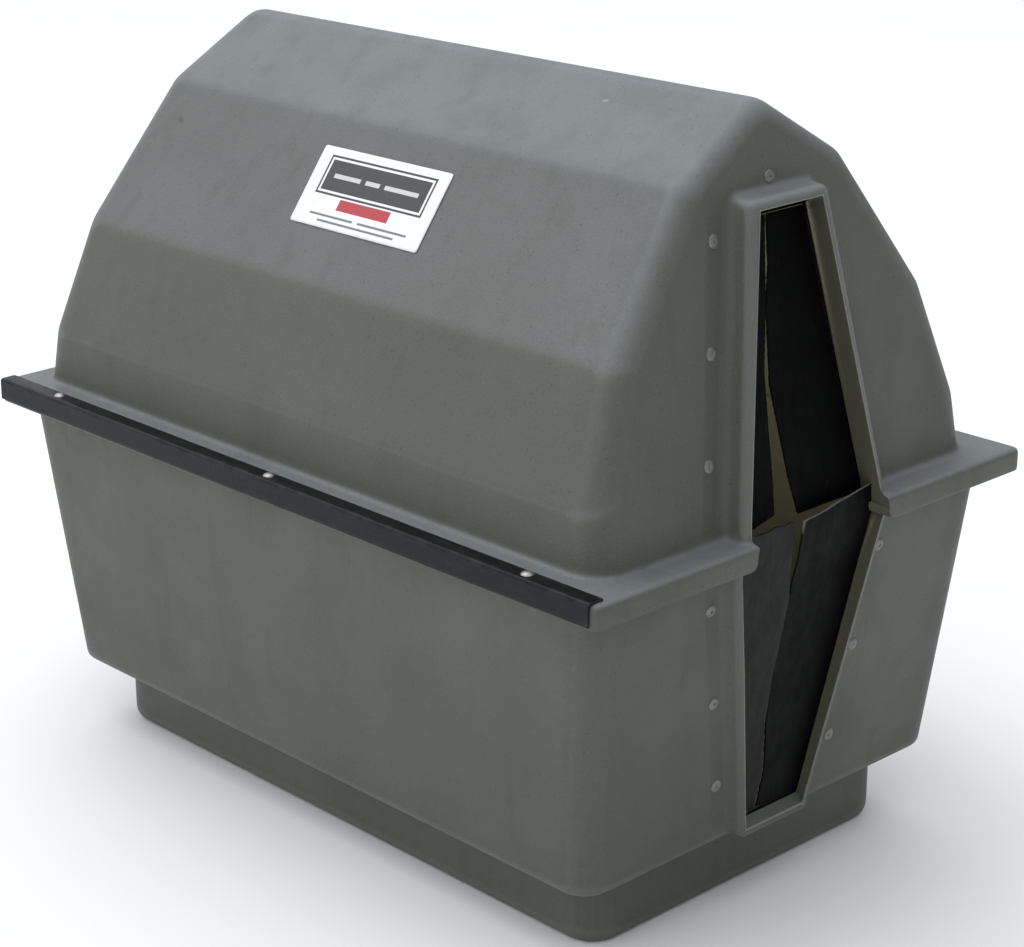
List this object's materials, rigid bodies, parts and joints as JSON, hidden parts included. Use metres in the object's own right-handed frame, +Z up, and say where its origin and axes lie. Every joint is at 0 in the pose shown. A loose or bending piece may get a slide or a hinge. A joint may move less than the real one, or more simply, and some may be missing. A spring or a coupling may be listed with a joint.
{
  "type": "calf hutch",
  "caption": "Moulded two-part box for a newborn calf: a faceted hood hinged to a tub, a tall neck opening closed by slit rubber curtains, a slatted floor and a fan heater.",
  "frame": {"origin": "middle of the underside of the plinth, on the ground", "axes": "+X towards the neck opening, along the long side; +Y towards the hinges; +Z up"},
  "size_m": [1.2231, 0.7693, 0.9596],
  "materials": {
    "poly_hood": "matte moulded polyethylene",
    "poly_tub": "matte moulded polyethylene",
    "rubber": "dull black sheet",
    "black_steel": "satin black paint",
    "bright_steel": "zinc plated",
    "rivet_alloy": "weathered",
    "galvanised": "galvanised",
    "floor_plastic": "matte moulded",
    "label_white": "printed vinyl",
    "black_plastic": "fine grained",
    "zinc": "galvanised",
    "grey_paint": "powder coated",
    "element_sheath": "heat darkened",
    "ceramic": "unglazed ceramic",
    "red_plastic": "glossy"
  },
  "bodies": {
    "base": {"bracket_rivet_1a": "bright_steel", "bracket_rivet_1b": "bright_steel", "bracket_rivet_2a": "bright_steel", "bracket_rivet_2b": "bright_steel", "cable_gland": "black_plastic", "element_carrier": "ceramic", "fan_motor": "zinc", "heater_guard": "zinc", "heater_housing": "grey_paint", "heater_wedge_frame": "black_plastic", "heating_element": "element_sheath", "hinge_bracket_1": "galvanised", "hinge_bracket_2": "galvanised", "hinge_pin_1": "bright_steel", "hinge_pin_2": "bright_steel", "housing_screw_1": "bright_steel", "housing_screw_2": "bright_steel", "housing_screw_3": "bright_steel", "housing_screw_4": "bright_steel", "lower_curtain_margin": "rubber", "lower_tub": "poly_tub", "rivet_lower_far_1": "rivet_alloy", "rivet_lower_far_2": "rivet_alloy", "rivet_lower_far_3": "rivet_alloy", "rivet_lower_near_1": "rivet_alloy", "rivet_lower_near_2": "rivet_alloy", "rivet_lower_near_3": "rivet_alloy", "slatted_floor": "floor_plastic", "switch_bezel": "black_plastic"},
    "hood": {"angle_bolt_1": "bright_steel", "angle_bolt_2": "bright_steel", "angle_bolt_3": "bright_steel", "angle_nut_1": "bright_steel", "angle_nut_2": "bright_steel", "angle_nut_3": "bright_steel", "hinge_leaf_1": "galvanised", "hinge_leaf_2": "galvanised", "label_plate": "label_white", "leaf_rivet_1a": "bright_steel", "leaf_rivet_1b": "bright_steel", "leaf_rivet_2a": "bright_steel", "leaf_rivet_2b": "bright_steel", "rivet_top": "rivet_alloy", "rivet_upper_far_1": "rivet_alloy", "rivet_upper_far_2": "rivet_alloy", "rivet_upper_far_3": "rivet_alloy", "rivet_upper_near_1": "rivet_alloy", "rivet_upper_near_2": "rivet_alloy", "rivet_upper_near_3": "rivet_alloy", "stiffener_angle": "black_steel", "upper_curtain_margin": "rubber", "upper_hood": "poly_hood"},
    "upper_near_flap": {"flap_upper_near": "rubber"},
    "upper_far_flap": {"flap_upper_far": "rubber"},
    "lower_near_flap": {"flap_lower_near": "rubber"},
    "lower_far_flap": {"flap_lower_far": "rubber"},
    "fan": {"fan_blades": "black_plastic"},
    "thermostat_dial": {"thermostat_knob": "black_plastic"},
    "power_rocker": {"switch_rocker": "red_plastic"}
  },
  "joints": [
    {"name": "hood_hinge", "type": "hinge", "parent": "base", "child": "hood", "pos_m": [0, 0.387, 0.4515], "axis": [-1, 0, 0], "range_deg": [0, 95]},
    {"name": "upper_near_flap_fold", "type": "hinge", "parent": "hood", "child": "upper_near_flap", "pos_m": [0.48923, -0.08857, 0.65773], "axis": [0.1481, -0.1685, -0.9745], "range_deg": [-60, 60], "stiffness_Nm_per_rad": 0.3, "springref_deg": 1.15},
    {"name": "upper_far_flap_fold", "type": "hinge", "parent": "hood", "child": "upper_far_flap", "pos_m": [0.48923, 0.08857, 0.65773], "axis": [-0.1481, -0.1685, 0.9745], "range_deg": [-60, 60], "stiffness_Nm_per_rad": 0.3, "springref_deg": 1.15},
    {"name": "lower_near_flap_fold", "type": "hinge", "parent": "base", "child": "lower_near_flap", "pos_m": [0.50827, -0.09471, 0.31419], "axis": [-0.1036, 0.196, -0.9751], "range_deg": [-60, 60], "stiffness_Nm_per_rad": 0.3, "springref_deg": -0.86},
    {"name": "lower_far_flap_fold", "type": "hinge", "parent": "base", "child": "lower_far_flap", "pos_m": [0.50827, 0.09471, 0.31419], "axis": [0.1036, 0.196, 0.9751], "range_deg": [-60, 60], "stiffness_Nm_per_rad": 0.3, "springref_deg": -0.86},
    {"name": "fan_spin", "type": "hinge", "parent": "base", "child": "fan", "pos_m": [-0.6043, 0.028, 0.275], "axis": [1, 0, 0], "continuous": true},
    {"name": "thermostat_turn", "type": "hinge", "parent": "base", "child": "thermostat_dial", "pos_m": [-0.6401, -0.072, 0.312], "axis": [-1, 0, 0], "range_deg": [0, 270]},
    {"name": "rocker_tip", "type": "hinge", "parent": "base", "child": "power_rocker", "pos_m": [-0.6381, -0.072, 0.248], "axis": [0, -1, 0], "range_deg": [0, 9]}
  ]
}
